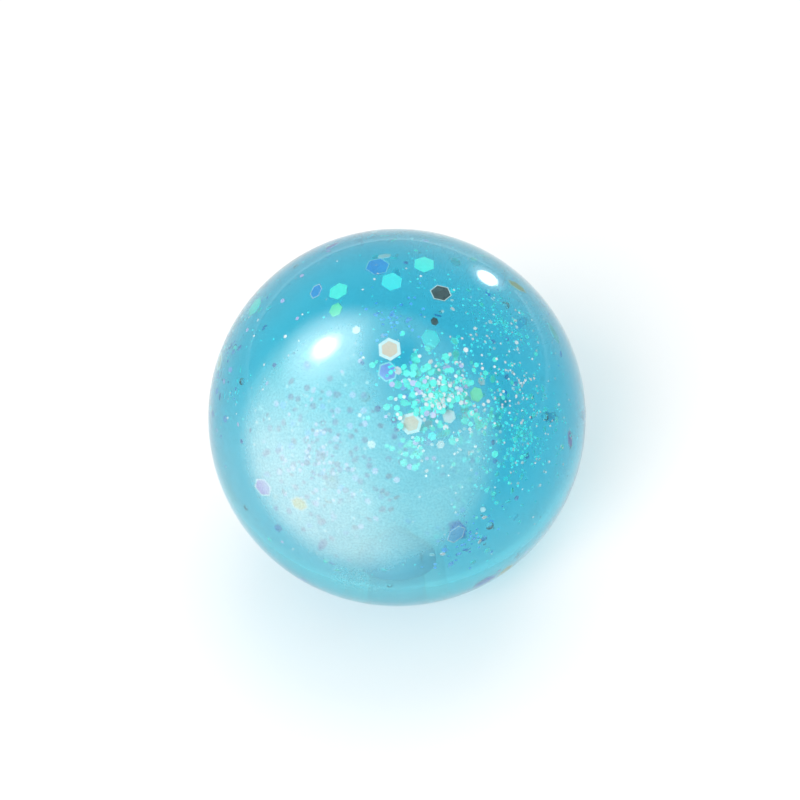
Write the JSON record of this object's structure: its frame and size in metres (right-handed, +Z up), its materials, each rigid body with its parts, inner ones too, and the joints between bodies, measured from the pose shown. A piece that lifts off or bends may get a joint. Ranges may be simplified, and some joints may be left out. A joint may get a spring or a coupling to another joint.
{
  "type": "glitter squeeze ball",
  "caption": "Soft clear ball filled with cyan-tinted liquid and loose hexagonal glitter, with a flat foot and a plugged fill neck; it flattens when squeezed and the glitter swirls.",
  "frame": {"origin": "on the floor under the centre of the ball, in the plane of the foot", "axes": "+Z up through the ball's centre along the plug's axis; the picture looks from -Y and above"},
  "size_m": [0.06, 0.06, 0.059],
  "materials": {
    "clear_skin": "clear gloss thermoplastic rubber",
    "plug": "translucent rubber, satin",
    "glue": "cured clear glue, gloss",
    "liquid": "clear tinted liquid",
    "glitter_aqua": "metallised film",
    "glitter_mint": "metallised film",
    "glitter_green": "metallised film",
    "glitter_blue": "metallised film",
    "glitter_violet": "pearl film",
    "glitter_peach": "pearl film",
    "glitter_gold": "metallised film",
    "glitter_smoke": "metallised film",
    "glitter_pearl": "pearl film",
    "glitter_lilac": "pearl film",
    "glitter_slate": "metallised film"
  },
  "bodies": {
    "skin": {"skin": "clear_skin", "fill_plug": "plug", "plug_seal": "glue"},
    "filling": {"filling": "liquid"},
    "glitter": {"large_flakes_aqua": "glitter_aqua", "large_flakes_mint": "glitter_mint", "large_flakes_green": "glitter_green", "large_flakes_blue": "glitter_blue", "large_flakes_violet": "glitter_violet", "large_flakes_peach": "glitter_peach", "large_flakes_gold": "glitter_gold", "large_flakes_smoke": "glitter_smoke", "large_flakes_pearl": "glitter_pearl", "small_flakes_aqua": "glitter_aqua", "small_flakes_mint": "glitter_mint", "small_flakes_pearl": "glitter_pearl", "small_flakes_lilac": "glitter_lilac", "small_flakes_slate": "glitter_slate", "small_flakes_blue": "glitter_blue", "fine_flakes_aqua": "glitter_aqua", "fine_flakes_pearl": "glitter_pearl"}
  },
  "joints": [
    {"name": "squeeze", "type": "slide", "parent": "skin", "child": "filling", "axis": [0, 0, -1], "range_m": [0, 0.01], "stiffness_N_per_m": 1000, "springref_m": -0.002, "deforming": ["skin", "filling"]},
    {"name": "swirl", "type": "hinge", "parent": "filling", "child": "glitter", "pos_m": [0, 0, 0.02905], "axis": [0, 0, 1], "continuous": true}
  ]
}
